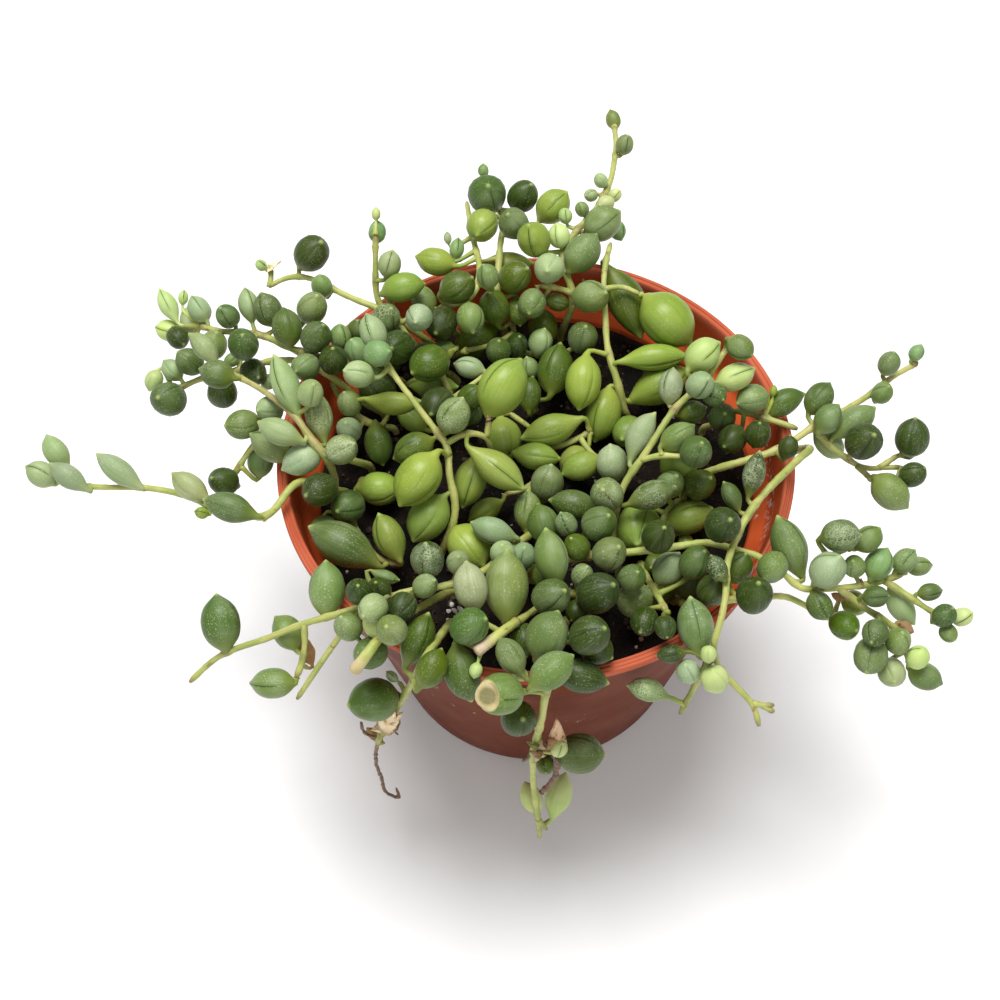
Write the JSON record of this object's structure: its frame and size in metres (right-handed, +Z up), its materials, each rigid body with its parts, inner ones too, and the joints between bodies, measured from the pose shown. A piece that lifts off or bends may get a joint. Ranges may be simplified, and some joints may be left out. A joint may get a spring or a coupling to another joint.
{
  "type": "potted trailing succulent",
  "caption": "Trailing succulent with plump, pointed, watermelon-striped leaves on thin wiry stems, spilling over the rim of a round tapered plastic nursery pot filled with soil.",
  "frame": {"origin": "middle of the pot's flat foot, on the surface that the pot stands on", "axes": "+Z up along the pot's axis, +X to the right and -Y towards the viewer of the picture"},
  "size_m": [0.1882, 0.1518, 0.1001],
  "materials": {
    "pot_plastic": "satin",
    "potting_soil": "matte",
    "plant_green": "satin"
  },
  "bodies": {
    "root": {"pot": "pot_plastic", "soil": "potting_soil", "left_runner": "plant_green", "left_low_strand": "plant_green", "left_crown": "plant_green", "upper_left_strand": "plant_green", "upper_left_low_strand": "plant_green", "top_left_runner": "plant_green", "upright_shoot": "plant_green", "back_left_shoot": "plant_green", "centre_left_strand": "plant_green", "inner_left_strand": "plant_green", "inner_left_low_strand": "plant_green", "centre_back_strand": "plant_green", "back_strand_left": "plant_green", "back_strand_middle": "plant_green", "back_strand_right": "plant_green", "back_floor_strand": "plant_green", "back_right_strand": "plant_green", "right_crown": "plant_green", "right_inner_strand": "plant_green", "right_upper_runner": "plant_green", "right_crossing_strand": "plant_green", "right_middle_strand": "plant_green", "right_low_strand": "plant_green", "right_front_strand": "plant_green", "right_floor_strand": "plant_green", "centre_floor_strand": "plant_green", "front_left_runner": "plant_green", "front_left_stub": "plant_green", "front_left_hanging": "plant_green", "front_centre_strand": "plant_green", "front_middle_strand": "plant_green", "front_hanging": "plant_green"}
  },
  "joints": []
}
